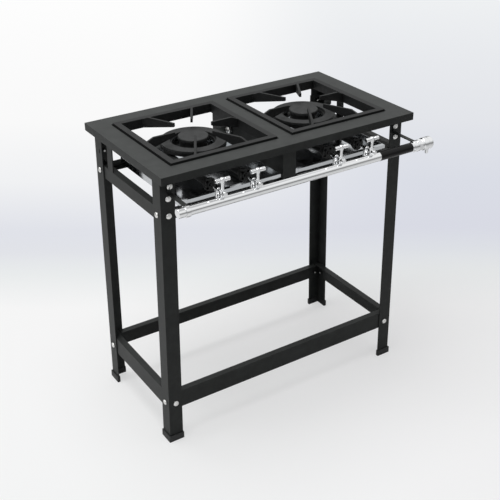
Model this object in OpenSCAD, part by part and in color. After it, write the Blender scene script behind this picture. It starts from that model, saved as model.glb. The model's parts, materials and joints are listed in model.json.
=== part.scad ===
// Two-burner gas stove on an open angle-iron stand, in millimetres.
// +X runs right along the front, +Y to the back, +Z up.
// The origin is on the floor, under the middle of the whole stove.

/* [Stand] */
// height of the top plate above the floor
stand_height = 800; // [700:5:880]
// lean of each side frame outward, in degrees
leg_splay = 1; // [0:0.25:2]
// width of each leg flange
leg_flange = 40; // [36:1:46]
// sheet of the legs and of the side straps
leg_sheet = 3; // [2:0.25:4]
// side edge of the top to the outer face of a leg
leg_inset_side = 12; // [8:1:16]
// front edge of the top to the front face of a leg
leg_inset_front = 32; // [26:1:36]
// top of a rear leg to the middle of its slotted hole
slot_drop = 62; // [54:1:66]
// height of the shoe on each leg
shoe_height = 20; // [14:1:30]
// shoe wall outside the leg
shoe_wall = 3.5; // [2:0.5:5]
// shoe floor under the leg
shoe_floor = 3; // [2:0.5:6]

/* [Top] */
// top plate along the front
top_length = 766; // [756:2:790]
// top plate from front to back
top_depth = 426; // [416:2:440]
// sheet of the top
top_sheet = 2; // [1.5:0.25:3]
// depth of the folded edge
skirt_height = 21; // [16:1:28]
// side edge of the top to a grate opening
side_margin = 53; // [50:1:58]
// strip of the top between the two grate openings
middle_strip = 40; // [37:1:46]
// depth of each grate opening
opening_depth = 323; // [316:1:326]
// seat under each grate, out from the wall of the opening
ledge_width = 12; // [8:1:13]
// burner centres behind the middle of the top
burner_back = 3; // [0:0.5:6]

/* [Rails] */
// sheet of the rails
rail_sheet = 2; // [1.5:0.25:2.5]
// width of the folded rail edge
rail_flange = 19; // [14:1:24]
// height of the lower rails
lower_rail_height = 52; // [40:1:60]
// underside of the lower rails above the floor
lower_rail_bottom = 103; // [80:1:160]
// height of the upper side rails
side_rail_height = 35; // [30:1:45]
// top plate to the upper edge of the side rails
side_rail_drop = 100; // [96:1:104]
// height of the upper front and back rails
cross_rail_height = 21; // [19:1:30]
// top plate to the upper edge of the front and back rails
cross_rail_drop = 109; // [108:0.5:112]
// height of the bolting ears at the ends of those rails
ear_height = 75; // [60:1:80]
// upper edge of an ear to its bolt
ear_bolt_drop = 17; // [14:1:20]
// width of the box of the centre divider
divider_width = 40; // [34:1:42]
// width of the side straps and burner bars
bar_width = 30; // [24:1:34]
// thickness of the burner bars
bar_sheet = 3; // [2:0.5:4]
// burner centre to the middle of the front and rear bars
bar_reach = 89; // [86:0.5:91]
// top plate to the top of the rear burner bars
rear_bar_drop = 57; // [54:0.5:60]
// left strap behind the rear bar and right strap in front of it
strap_shift = 8.5; // [0:0.5:12]

/* [Grates] */
// gap all round a grate
grate_gap = 3; // [2:0.25:4]
// top plate to the top of a grate frame
grate_rise = 4.5; // [2:0.5:6]
// width of the grate frame bars
grate_bar = 16.5; // [14:0.5:18]
// depth of the grate frame
grate_depth = 25; // [20:1:28]
// thickness of a finger
finger_thick = 6; // [4:0.5:8]
// height of the fingers above the frame
finger_rise = 7.5; // [4:0.5:9]
// radius inside the finger tips
finger_tip_radius = 57; // [50:1:62]
// depth of a finger at its tip
finger_tip_depth = 10; // [7:0.5:12]
// length of the slope at a finger's root
finger_slope = 18; // [10:1:30]
// each finger beside the line to the middle of the grate
finger_offset = 5; // [0:0.5:7]

/* [Burners] */
// radius of the small cap
cap_radius = 40; // [37:0.5:43]
// thickness of the small cap
cap_height = 8; // [6:0.5:10]
// top plate to the top of the small cap
cap_drop = 11; // [9:0.5:14]
// outer radius of the ring cap
ring_radius = 87; // [84:0.5:89]
// inner radius of the ring cap
ring_hole_radius = 60; // [58:0.5:61.5]
// thickness of the ring cap
ring_height = 7; // [6:0.5:9]
// top plate to the top of the ring cap
ring_drop = 21.5; // [20:0.5:24]
// depth of the ring casting below its cap
ring_body_height = 8; // [7:0.5:9]
// wall of the burner castings
casting_wall = 4; // [3:0.5:5]
// width of a flame slot
port_width = 2; // [1:0.25:2.5]
// depth of a flame slot
port_depth = 2.5; // [1.5:0.25:3]
// side clearance of the caps on the castings
cap_clearance = 0.4; // [0.3:0.05:0.8]

/* [Gas feed] */
// top plate to the centre line of the burner tubes
tube_drop = 51; // [50:0.5:52]
// outer radius of a burner tube
tube_radius = 10; // [9:0.25:10.5]
// wall of a burner tube
tube_wall = 2; // [1:0.25:3]
// radius of a tube's mouth
mouth_radius = 17; // [16:0.5:19]
// mouth of a tube in front of the burner centre
mouth_reach = 208; // [204:1:212]
// side offset of the tube that feeds the ring
ring_feed = 74.5; // [72:0.5:76]
// side offset of the tube that feeds the small burner
cap_feed = 24.5; // [23:0.5:26]
// thickness of an air shutter
shutter_sheet = 2; // [1:0.25:3]
// radius of an air hole
air_hole = 3.4; // [2.5:0.1:3.8]
// radial play of the shutters and tap stems
turning_gap = 0.3; // [0.25:0.05:0.5]
// outer radius of the gas manifold
manifold_radius = 12; // [11:0.25:12.5]
// wall of the manifold
manifold_wall = 2; // [1:0.25:3]
// manifold in front of the middle of the top
manifold_front = 262.5; // [258:0.5:268]
// top plate to the centre line of the manifold
manifold_drop = 72.5; // [72:0.25:73.5]
// length of the manifold's end cap
end_cap_length = 19; // [12:1:24]
// gap between the bare sleeve and the right bracket
sleeve_gap = 6; // [2:1:10]
// right tap to the start of the bare sleeve
sleeve_tap_gap = 26.5; // [18:0.5:60]
// sleeve wall
sleeve_wall = 0.5; // [0.4:0.1:1]
// radius of a tap body
valve_radius = 7; // [6.5:0.25:8]
// length of a tap body
valve_length = 20; // [18:1:22]
// manifold to the jet holders behind it, centre to centre
jet_back = 22.5; // [21:0.5:25]
// radius of a jet holder
jet_radius = 7; // [6:0.25:7.5]
// radius of a tap stem
stem_radius = 4; // [3:0.25:4.5]
// top plate to the centre line of the tap handles
handle_drop = 18; // [14:0.5:22]
// length of a tap handle
handle_length = 40; // [34:1:48]
// radius of a tap handle's end knob
knob_radius = 5.2; // [4.5:0.1:6]
// width of the manifold brackets
bracket_width = 12; // [10:0.5:14]
// sheet of the manifold brackets
bracket_sheet = 2.5; // [2:0.25:3]
// outer face of a leg to the middle of its manifold bracket
bracket_inset = 24; // [22:0.5:28]
// height of the upright of a manifold bracket
bracket_rise = 30; // [24:1:34]
// radius of the gas inlet body
inlet_radius = 17; // [15:0.5:18]
// length of the gas inlet body
inlet_length = 33; // [28:1:40]
// radius of the hose tail
hose_tail_radius = 5; // [4:0.25:6]
// length of the hose tail below the inlet body
hose_tail_length = 13; // [10:0.5:24]

/* [Trays] */
// outer face of a leg to the side of a tray
tray_inset = 54; // [50:1:62]
// depth of a drip tray
tray_depth = 329; // [300:1:336]
// height of a tray wall
tray_height = 18; // [14:0.5:19]
// sheet of the trays
tray_sheet = 1; // [0.8:0.1:1.5]
// front lip of a tray, top to bottom
tray_lip = 9; // [6:0.5:11]
// overhang of the front lip
tray_overhang = 11; // [8:0.5:16]
// gap between a tray and the centre divider
tray_gap = 7; // [4:0.5:9]
// width of a tray runner
runner_width = 20; // [14:1:26]
// thickness of a tray runner
runner_sheet = 2; // [1.5:0.25:2.5]

/* [Fasteners] */
// radius of the leg bolt heads
bolt_head_radius = 7.75; // [6.5:0.25:8.5]
// height of the leg bolt heads
bolt_head_height = 4.5; // [3:0.5:6]
// radius of the leg bolts
bolt_radius = 3; // [2.5:0.25:3.5]
// leg corner to bolt centre
bolt_inset = 21; // [19:0.5:23]
// radius of the bolts on the centre divider
divider_bolt_radius = 9.5; // [7:0.5:10]

/* [Hidden] */
$fn = 48;
far = 2000;
paint = [0.23, 0.24, 0.24];
iron = [0.12, 0.12, 0.12];
shine = [0.82, 0.83, 0.85];
zinc = [0.72, 0.73, 0.72];
sheet_metal = [0.66, 0.68, 0.70];
black = [0.06, 0.06, 0.06];

// levels
under_top = stand_height - top_sheet;
frame_top = stand_height + grate_rise;
ledge_top = frame_top - grate_depth;
well_bottom = ledge_top - top_sheet;
lower_rail_top = lower_rail_bottom + lower_rail_height;
side_rail_top = stand_height - side_rail_drop;
cross_rail_top = stand_height - cross_rail_drop;
cross_rail_bottom = cross_rail_top - cross_rail_height;
ear_top = cross_rail_bottom + ear_height;
tray_bottom = cross_rail_top + runner_sheet;
tray_top = tray_bottom + tray_height;
tube_z = stand_height - tube_drop;
front_bar_top = tube_z - tube_radius - 2;
rear_bar_top = stand_height - rear_bar_drop;
manifold_z = stand_height - manifold_drop;
ring_top = stand_height - ring_drop;
ring_seat = ring_top - ring_height;
ring_bottom = ring_seat - ring_body_height;
cap_top = stand_height - cap_drop;
cap_seat = cap_top - cap_height;
bowl_bottom = tube_z - tube_radius - 1;
handle_z = stand_height - handle_drop;

// plan positions
leg_x = top_length / 2 - leg_inset_side;
leg_y = top_depth / 2 - leg_inset_front;
opening_width = (top_length - middle_strip) / 2 - side_margin;
burner_x = (opening_width + middle_strip) / 2;
mouth_y = burner_back - mouth_reach;
well_outer_x = burner_x + opening_width / 2 + top_sheet;
divider_half = divider_width / 2;
divider_sheet = 2;
divider_back = leg_y - 14;
divider_top = well_bottom - 1.5;
tray_width = leg_x - tray_inset - divider_half - tray_gap;
tray_x = divider_half + tray_gap + tray_width / 2;
tray_front = -leg_y;
runner_x = tray_width / 2 - 25;
rail_back = leg_y - leg_sheet;
rail_end_gap = 2;
ear_margin = 4;
valve_overhang = 11.5;
valve_hex = 4;
valve_front = -manifold_front - valve_overhang;
valve_rear = valve_front + valve_length;
jet_y = jet_back - manifold_front;
bracket_x = leg_x - bracket_inset;
manifold_half = bracket_x + bracket_width / 2;
feed_x = [-burner_x - ring_feed, -burner_x + cap_feed, burner_x - ring_feed, burner_x + cap_feed];
sleeve_start = feed_x[3] + sleeve_tap_gap;
sleeve_end = bracket_x - bracket_width / 2 - sleeve_gap;
union_length = 17;

// middle of the whole stove
right_end = manifold_half + union_length + inlet_length;
left_end = max(top_length / 2, leg_x + under_top * tan(leg_splay) + shoe_wall / cos(leg_splay));
front_end = manifold_front + max(inlet_radius, valve_overhang + valve_hex);
back_end = top_depth / 2;

// burner details
ring_trough_inner = ring_hole_radius + 1;
bowl_radius = cap_radius - casting_wall;
bowl_bore = bowl_radius - casting_wall;
foot_width = 16;
arm_left = -30;
arm_width = 14;
lug_length = 22;

// tube mouth details
mouth_plate = 2;
mouth_cone = 18;
neck_radius = 6.6;
neck_bore = 5;
neck_lip = 2;
shutter_gap = 0.3;
air_ring = (mouth_radius + neck_radius) / 2;

// fasteners
nut_height = 5;
nut_radius = 5.75;
divider_bolt_head = 7;
hole_play = 0.25;
slot_width = 1.4;
slot_depth = 1.2;
side_rail_middle = side_rail_top - side_rail_height / 2;
low_bolt_height = lower_rail_bottom + 0.38 * lower_rail_height;
face_bolt_heights = [ear_top - ear_bolt_drop, side_rail_middle, low_bolt_height];
side_bolt_heights = [side_rail_middle, low_bolt_height];
divider_bolt_y = burner_back + bar_reach - bar_width / 2;
divider_bolt_z = rear_bar_top + 2;

// ---- placing helpers ----

// box between two opposite corners
module span(a, b) {
    translate([min(a[0], b[0]), min(a[1], b[1]), min(a[2], b[2])])
        cube([abs(b[0] - a[0]), abs(b[1] - a[1]), abs(b[2] - a[2])]);
}

module slab(bottom, top) {
    span([-far, -far, bottom], [far, far, top]);
}

// the right side frame leans out from the underside of the top; the left one mirrors it
module lean() {
    translate([leg_x, 0, under_top]) rotate([0, -leg_splay, 0]) children();
}

module on_side(side) {
    if (side > 0) lean() children();
    else mirror([1, 0, 0]) lean() children();
}

// moves the stove's middle to the origin
module placed() {
    translate([(left_end - right_end) / 2, (front_end - back_end) / 2, 0]) children();
}

module both_sides() {
    children();
    mirror([1, 0, 0]) children();
}

module at_burner(side) {
    translate([side * burner_x, burner_back, 0]) children();
}

// cylinder along Y between two positions
module rod_y(x, y0, y1, z, r) {
    translate([x, y0, z]) rotate([-90, 0, 0]) cylinder(r = r, h = y1 - y0);
}

// cylinder along X between two positions
module rod_x(x0, x1, y, z, r) {
    translate([x0, y, z]) rotate([0, 90, 0]) cylinder(r = r, h = x1 - x0);
}

// every bolt place in a leg, +Z pointing out of the leg
module at_face_bolts(side, end) {
    for (h = face_bolt_heights)
        on_side(side) translate([-bolt_inset, end * leg_y, h - under_top])
            rotate([-90 * end, 0, 0]) children();
}

module at_side_bolts(side, end) {
    for (h = side_bolt_heights)
        on_side(side) translate([0, end * (leg_y - bolt_inset), h - under_top])
            rotate([0, 90, 0]) children();
}

module at_leg_bolts() {
    for (side = [-1, 1])
        for (end = [-1, 1]) {
            at_face_bolts(side, end) children();
            at_side_bolts(side, end) children();
        }
}

module bolt_hole() {
    translate([0, 0, -leg_sheet - rail_sheet - 1])
        cylinder(r = bolt_radius + hole_play, h = leg_sheet + rail_sheet + 2);
}

// ---- top ----

// box centred on a grate opening, wider than it by a margin on every side
module opening_box(side, margin, bottom, top) {
    x = opening_width / 2 + margin;
    y = opening_depth / 2 + margin;
    translate([side * burner_x, 0, 0]) span([-x, -y, bottom], [x, y, top]);
}

module top_pan() color(paint) {
    x = top_length / 2;
    y = top_depth / 2;
    skirt_bottom = stand_height - skirt_height;
    difference() {
        union() {
            difference() {
                span([-x, -y, skirt_bottom], [x, y, stand_height]);
                span([top_sheet - x, top_sheet - y, skirt_bottom - 1],
                     [x - top_sheet, y - top_sheet, under_top]);
            }
            for (side = [-1, 1]) opening_box(side, top_sheet, well_bottom, stand_height);
        }
        for (side = [-1, 1]) {
            opening_box(side, 0, ledge_top, stand_height + 1);
            opening_box(side, -ledge_width, well_bottom - 1, stand_height);
        }
    }
}

// ---- legs and shoes ----

// angle with its corner at the leg's outer corner, grown outward and cut to a flange and a wall
module angle_bar(end, grow, flange, wall) {
    span([grow, end * (leg_y + grow), -far / 2], [grow - wall, end * (leg_y + grow - flange), far / 2]);
    span([grow, end * (leg_y + grow), -far / 2], [grow - flange, end * (leg_y + grow - wall), far / 2]);
}

module slotted_hole() {
    translate([-leg_sheet - 1, leg_y - bolt_inset - 4, -slot_drop])
        span([0, -2, -5], [leg_sheet + 2, 2, 5]);
}

module leg(side, end) color(paint)
    difference() {
        intersection() {
            on_side(side) angle_bar(end, 0, leg_flange, leg_sheet);
            slab(shoe_floor, under_top);
        }
        at_face_bolts(side, end) bolt_hole();
        at_side_bolts(side, end) bolt_hole();
        if (end > 0) on_side(side) slotted_hole();
        if (end < 0) bracket_screw_shank(side);
    }

module shoe(side, end) {
    difference() {
        intersection() {
            on_side(side)
                angle_bar(end, shoe_wall, leg_flange + shoe_wall + 1.5, leg_sheet + shoe_wall + 2.5);
            slab(0, shoe_height);
        }
        intersection() {
            on_side(side) angle_bar(end, 0, leg_flange, leg_sheet);
            slab(shoe_floor, under_top);
        }
    }
}

module shoes() color(black)
    for (side = [-1, 1])
        for (end = [-1, 1])
            shoe(side, end);

// ---- rails ----

function leg_corner_x(z) = leg_x + (under_top - z) * tan(leg_splay);

// rail lapped behind the front or back leg faces, folded inward at the given height
module end_rail(end, bottom, top, fold) {
    plate_x = leg_corner_x(top) - leg_sheet - rail_end_gap;
    fold_x = plate_x - rail_flange - rail_end_gap;
    span([-plate_x, end * rail_back, bottom], [plate_x, end * (rail_back - rail_sheet), top]);
    span([-fold_x, end * rail_back, fold], [fold_x, end * (rail_back - rail_flange), fold + rail_sheet]);
}

module lower_end_rail(end) color(paint)
    difference() {
        end_rail(end, lower_rail_bottom, lower_rail_top, lower_rail_top - rail_sheet);
        at_leg_bolts() bolt_hole();
    }

// the front rail is folded at its top, the back rail at its bottom with wider ears
module upper_end_rail(end) color(paint) {
    fold = end < 0 ? cross_rail_top - rail_sheet : cross_rail_bottom;
    ear_in = leg_x - leg_flange - end * ear_margin;
    ear_out = leg_corner_x(ear_top) - leg_sheet - rail_end_gap;
    difference() {
        union() {
            end_rail(end, cross_rail_bottom, cross_rail_top, fold);
            both_sides()
                span([ear_in, end * rail_back, cross_rail_bottom],
                     [ear_out, end * (rail_back - rail_sheet), ear_top]);
        }
        at_leg_bolts() bolt_hole();
    }
}

// rail lapped inside the side flanges of two legs, leaning with them
module side_rail(side, bottom, top) color(paint)
    difference() {
        half = rail_back - rail_sheet - 1;
        on_side(side) {
            span([-leg_sheet, -half, bottom - under_top], [-leg_sheet - rail_sheet, half, top - under_top]);
            span([-leg_sheet, -half, top - rail_sheet - under_top],
                 [-leg_sheet - rail_flange, half, top - under_top]);
        }
        at_leg_bolts() bolt_hole();
    }

module upper_side_rail(side) {
    side_rail(side, side_rail_top - side_rail_height, side_rail_top);
}

// ---- inner frame ----

bar_back_y = burner_back + bar_reach;
bar_front_y = burner_back - bar_reach;
upright_x = well_outer_x - 3;

// strap on the inner face of a side frame, from its rail up to the top
module strap(side) color(paint) {
    middle = bar_back_y - side * strap_shift;
    intersection() {
        on_side(side)
            span([-leg_sheet - bar_sheet, middle - bar_width / 2, -far / 2],
                 [-leg_sheet, middle + bar_width / 2, far / 2]);
        slab(side_rail_top, under_top);
    }
}

module divider() color(paint)
    difference() {
        union() {
            span([-divider_half, -leg_y, cross_rail_bottom + 2], [divider_half, -rail_back, under_top]);
            both_sides()
                span([divider_half, -rail_back, cross_rail_top],
                     [divider_half - divider_sheet, divider_back, divider_top]);
        }
        rod_x(-far, far, divider_bolt_y, divider_bolt_z, bolt_radius + hole_play);
    }

module divider_bolts() color(shine)
    both_sides() {
        rod_x(divider_half + bar_sheet, divider_half + bar_sheet + divider_bolt_head,
              divider_bolt_y, divider_bolt_z, divider_bolt_radius);
        rod_x(divider_half - divider_sheet - divider_bolt_head, divider_half + bar_sheet,
              divider_bolt_y, divider_bolt_z, bolt_radius);
    }

module tray_runners() color(paint)
    both_sides()
        for (step = [-1, 1])
            translate([tray_x + step * runner_x, 0, 0])
                span([-runner_width / 2, -rail_back, cross_rail_top],
                     [runner_width / 2, rail_back, tray_bottom]);

// bar from the divider out to an upright under the edge of the grate opening
module burner_bar(middle, level) {
    front = middle - bar_width / 2;
    back = middle + bar_width / 2;
    span([divider_half, front, level - bar_sheet], [upright_x, back, level]);
    span([upright_x - bar_sheet, front, level - bar_sheet], [upright_x, back, well_bottom]);
}

module burner_bars_front() color(paint)
    both_sides() burner_bar(bar_front_y, front_bar_top);

// each rear bar carries a tab that is bolted to the divider
module burner_bars_rear() color(paint) {
    tab_front = divider_bolt_y - bar_width / 2;
    tab_half = bar_width / 2;
    both_sides()
        difference() {
            union() {
                burner_bar(bar_back_y, rear_bar_top);
                span([divider_half, tab_front, divider_bolt_z - tab_half],
                     [divider_half + bar_sheet, bar_back_y + bar_width / 2, divider_bolt_z + tab_half]);
            }
            span([divider_half + bar_sheet, tab_front, 0],
                 [divider_half + bar_sheet + divider_bolt_radius,
                  divider_bolt_y + divider_bolt_radius + 2, stand_height]);
            rod_x(0, far, divider_bolt_y, divider_bolt_z, bolt_radius + hole_play);
        }
}

// ---- grates ----

grate_half_x = opening_width / 2 - grate_gap;
grate_half_y = opening_depth / 2 - grate_gap;
finger_turns = [0, 60, 115, 180, 240, 295];

// way along a finger's line to the inner face of the frame
function finger_root(turn) =
    abs(sin(turn)) < 0.5
        ? grate_half_x - grate_bar
        : (grate_half_y - grate_bar - sign(sin(turn)) * cos(turn) * finger_offset) / abs(sin(turn));

// finger side view, drawn out from the middle of the grate
module finger(root) {
    tip_top = frame_top + finger_rise;
    rotate([90, 0, 0])
        translate([0, 0, -finger_thick / 2])
            linear_extrude(finger_thick)
                polygon([
                    [finger_tip_radius, tip_top],
                    [root - finger_slope, tip_top],
                    [root, frame_top - 0.5],
                    [root + grate_bar / 2, frame_top - 0.5],
                    [root + grate_bar / 2, ledge_top + 1],
                    [root, ledge_top + 1],
                    [finger_tip_radius, tip_top - finger_tip_depth]
                ]);
}

module grate(side) color(iron)
    translate([side * burner_x, 0, 0]) {
        x = grate_half_x - grate_bar;
        y = grate_half_y - grate_bar;
        difference() {
            span([-grate_half_x, -grate_half_y, ledge_top], [grate_half_x, grate_half_y, frame_top]);
            span([-x, -y, ledge_top - 1], [x, y, frame_top + 1]);
        }
        for (turn = finger_turns)
            rotate([0, 0, turn]) translate([0, finger_offset, 0]) finger(finger_root(turn));
    }

// ---- burners ----

module disc(r, bottom, top) {
    translate([0, 0, bottom]) cylinder(r = r, h = top - bottom);
}

module washer(outer, inner, bottom, top) {
    difference() {
        disc(outer, bottom, top);
        disc(inner, bottom - 1, top + 1);
    }
}

// radial slots sunk upward from a seat
module ports(count, inner, outer, seat) {
    for (i = [0 : count - 1])
        rotate([0, 0, i * 360 / count])
            span([inner, -port_width / 2, seat - 1], [outer, port_width / 2, seat + port_depth]);
}

module ring_cap(side) color(iron)
    at_burner(side)
        difference() {
            union() {
                washer(ring_radius, ring_hole_radius, ring_seat, ring_top);
                washer(ring_trough_inner + cap_clearance + 3, ring_trough_inner + cap_clearance,
                       ring_seat - 2, ring_seat + 1);
            }
            ports(36, ring_trough_inner + 8, ring_radius + 1, ring_seat);
        }

// foot reaching out under the ring and down to a burner bar
module ring_foot(end, bar_top) {
    outer = bar_reach + lug_length / 2;
    span([-foot_width / 2, end * (ring_hole_radius + 4), ring_bottom],
         [foot_width / 2, end * outer, ring_seat - 2]);
    span([-foot_width / 2, end * (outer - 14), bar_top], [foot_width / 2, end * outer, ring_seat - 2]);
}

module ring_casting(side) color(iron)
    at_burner(side)
        difference() {
            union() {
                disc(ring_radius - 1, ring_bottom, ring_seat);
                translate([-ring_feed + 3, 0, 0])
                    disc(tube_radius + 5, tube_z - tube_radius - 2, ring_seat - 2);
                ring_foot(-1, front_bar_top);
                ring_foot(1, rear_bar_top);
            }
            disc(ring_hole_radius - casting_wall, ring_bottom - 1, ring_seat + 1);
            washer(ring_radius - 1 - casting_wall, ring_trough_inner, ring_bottom + 3, ring_seat + 1);
            rod_y(-ring_feed, -ring_hole_radius, -8, tube_z, tube_radius);
            rod_y(-ring_feed, -10, 4, tube_z, tube_radius - tube_wall);
            translate([-ring_feed + 8, 0, 0]) disc(5, tube_z, ring_seat);
        }

module cap(side) color(iron)
    at_burner(side)
        difference() {
            union() {
                disc(cap_radius, cap_seat, cap_top - 2);
                translate([0, 0, cap_top - 2]) cylinder(r1 = cap_radius, r2 = cap_radius - 1.5, h = 2);
                washer(bowl_bore - cap_clearance, bowl_bore - cap_clearance - 4, cap_seat - 2, cap_seat + 1);
            }
            ports(24, bowl_bore + 0.8, cap_radius + 1, cap_seat);
        }

module bowl(side) color(iron)
    at_burner(side)
        difference() {
            union() {
                disc(bowl_radius, bowl_bottom, cap_seat);
                rod_y(cap_feed, -40, 0, tube_z, tube_radius + 2.5);
                span([arm_left, -bar_reach - lug_length / 2, tube_z - 5],
                     [arm_left + arm_width, bar_reach + lug_length / 2, tube_z + 1]);
                span([arm_left, -bar_reach - lug_length / 2, front_bar_top],
                     [arm_left + arm_width, -bar_reach + lug_length / 2, tube_z]);
                span([arm_left, bar_reach - lug_length / 2, rear_bar_top],
                     [arm_left + arm_width, bar_reach + lug_length / 2, tube_z]);
            }
            disc(bowl_bore, bowl_bottom + casting_wall, cap_seat + 1);
            rod_y(cap_feed, -41, -18, tube_z, tube_radius);
            rod_y(cap_feed, -19, 0, tube_z, tube_radius - tube_wall);
        }

// ---- burner tubes and air shutters ----

// air holes in a plate across the mouth
module air_holes(y0, y1) {
    for (i = [0 : 3])
        rotate([0, 45 + i * 90, 0]) rod_y(air_ring, y0, y1, 0, air_hole);
}

// a tube from its mouth at y = 0 back to its end
module tube(length) {
    lip_y = -shutter_sheet - 2 * shutter_gap;
    difference() {
        union() {
            rod_y(0, 0, mouth_plate, 0, mouth_radius);
            translate([0, mouth_plate, 0]) rotate([-90, 0, 0])
                cylinder(r1 = mouth_radius, r2 = tube_radius, h = mouth_cone);
            rod_y(0, mouth_plate + mouth_cone, length, 0, tube_radius);
            rod_y(0, lip_y, 1, 0, neck_radius);
            rod_y(0, lip_y - 1.5, lip_y, 0, neck_radius + neck_lip);
        }
        translate([0, mouth_plate, 0]) rotate([-90, 0, 0])
            cylinder(r1 = mouth_radius - tube_wall, r2 = tube_radius - tube_wall, h = mouth_cone);
        rod_y(0, mouth_plate + mouth_cone, length + 1, 0, tube_radius - tube_wall);
        rod_y(0, lip_y - 3, mouth_plate + 1, 0, neck_bore);
        air_holes(-1, mouth_plate + 1);
    }
}

module tubes(side) color(iron) {
    translate([side * burner_x - ring_feed, mouth_y, tube_z]) tube(mouth_reach - 8);
    translate([side * burner_x + cap_feed, mouth_y, tube_z]) tube(mouth_reach - 18);
}

module shutter(i) color(black)
    translate([feed_x[i], mouth_y - shutter_gap, tube_z])
        difference() {
            union() {
                rod_y(0, -shutter_sheet, 0, 0, mouth_radius);
                rotate([0, -35, 0])
                    span([-3, -shutter_sheet, mouth_radius - 3], [3, 0, mouth_radius + 4]);
            }
            rod_y(0, -shutter_sheet - 1, 1, 0, neck_radius + turning_gap);
            air_holes(-shutter_sheet - 1, 1);
        }

// ---- taps ----

module tap_body(i) color(shine)
    difference() {
        union() {
            rod_y(feed_x[i], valve_front, valve_rear, tube_z, valve_radius);
            translate([feed_x[i], valve_front - valve_hex, tube_z]) rotate([-90, 0, 0])
                cylinder(r = valve_radius - 0.7, h = valve_hex + 1, $fn = 6);
            translate([feed_x[i], -manifold_front, manifold_z])
                cylinder(r = valve_radius - 0.2, h = tube_z - manifold_z);
            translate([feed_x[i], -manifold_front, tube_z])
                cylinder(r = valve_radius - 0.5, h = 8);
            translate([feed_x[i], -manifold_front, tube_z + 6])
                cylinder(r = valve_radius + 0.8, h = 4, $fn = 6);
        }
        rod_x(feed_x[i] - 20, feed_x[i] + 20, -manifold_front, manifold_z, manifold_radius);
        translate([feed_x[i], -manifold_front, tube_z + 1])
            cylinder(r = stem_radius + turning_gap, h = 20);
    }

module knob() {
    rod_x(0, 9, 0, 0, knob_radius);
    translate([9, 0, 0]) rotate([0, 90, 0])
        cylinder(r1 = knob_radius, r2 = knob_radius - 2, h = 2);
    translate([-2, 0, 0]) rotate([0, 90, 0])
        cylinder(r1 = knob_radius - 1.4, r2 = knob_radius, h = 2);
}

module tap_handle(i) color(shine)
    translate([feed_x[i], -manifold_front, 0]) {
        translate([0, 0, tube_z + 1.5]) cylinder(r = stem_radius, h = handle_z - tube_z);
        translate([0, 0, handle_z - knob_radius - 1])
            cylinder(r = knob_radius + 0.6, h = 2 * knob_radius + 2);
        rod_x(-handle_length / 2 + 8, handle_length / 2 - 8, 0, handle_z, knob_radius - 1.2);
        translate([handle_length / 2 - 11, 0, handle_z]) knob();
        mirror([1, 0, 0]) translate([handle_length / 2 - 11, 0, handle_z]) knob();
    }

// pipe from the back of the manifold up to a collar, with the jet pointing into a tube
module injectors() color(shine)
    for (x = feed_x)
        difference() {
            union() {
                rod_y(x, -manifold_front, jet_y, manifold_z, jet_radius - 1.5);
                translate([x, jet_y, manifold_z - jet_radius + 1])
                    cylinder(r = jet_radius - 0.5, h = tube_z - manifold_z + jet_radius - 1);
                rod_y(x, jet_y - jet_radius + 0.5, jet_y + jet_radius - 1, tube_z, jet_radius);
                rod_y(x, jet_y, mouth_y - 11, tube_z, 4);
                translate([x, mouth_y - 11, tube_z]) rotate([-90, 0, 0])
                    cylinder(r1 = 4, r2 = 2.4, h = 5);
            }
            manifold_rod(-far, far, manifold_radius);
            rod_y(x, jet_y - jet_radius, jet_y - jet_radius + 4, tube_z, jet_radius - 4);
            rod_y(x, jet_y, mouth_y, tube_z, 1);
        }

// ---- manifold ----

manifold_bore = manifold_radius - manifold_wall;

// cylinder on the centre line of the manifold
module manifold_rod(x0, x1, r) {
    rod_x(x0, x1, -manifold_front, manifold_z, r);
}

module manifold_tube() color(shine)
    difference() {
        manifold_rod(-manifold_half, manifold_half, manifold_radius);
        manifold_rod(-far, far, manifold_bore);
    }

module manifold_cap() color(shine) {
    manifold_rod(-manifold_half - end_cap_length, -manifold_half, manifold_radius);
    manifold_rod(-manifold_half - 1, -manifold_half + 10, manifold_bore);
}

module manifold_sleeve() color(black)
    difference() {
        manifold_rod(sleeve_start, sleeve_end, manifold_radius + sleeve_wall);
        manifold_rod(0, far, manifold_radius);
    }

inlet_bore = manifold_bore - 3;

module inlet_union() color(shine)
    difference() {
        union() {
            translate([manifold_half, -manifold_front, manifold_z]) rotate([0, 90, 0])
                cylinder(r = inlet_radius + 0.9, h = union_length, $fn = 6);
            manifold_rod(manifold_half - 8, manifold_half + 1, manifold_bore);
        }
        manifold_rod(0, far, inlet_bore);
    }

inlet_start = manifold_half + union_length;
inlet_end = inlet_start + inlet_length;
hose_tail_x = inlet_end - 9;
hose_tail_bottom = manifold_z - inlet_radius - hose_tail_length;
tail_neck = 2;

module inlet_body() color(shine)
    difference() {
        union() {
            manifold_rod(inlet_start, inlet_end - 2, inlet_radius);
            translate([inlet_end - 2, -manifold_front, manifold_z]) rotate([0, 90, 0])
                cylinder(r1 = inlet_radius, r2 = inlet_radius - 2, h = 2);
            translate([hose_tail_x, -manifold_front, hose_tail_bottom]) {
                cylinder(r = hose_tail_radius, h = hose_tail_length - tail_neck);
                cylinder(r = hose_tail_radius - 1, h = hose_tail_length + inlet_radius);
            }
        }
        manifold_rod(inlet_start - 1, hose_tail_x, inlet_bore);
        translate([hose_tail_x, -manifold_front, hose_tail_bottom - 1])
            cylinder(r = hose_tail_radius - 2, h = hose_tail_length + inlet_radius);
    }

band_radius = manifold_radius + bracket_sheet;
arm_top = manifold_z + band_radius - 0.3;
bracket_top = arm_top + bracket_rise;
bracket_screw_z = bracket_top - bracket_width;

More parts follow.
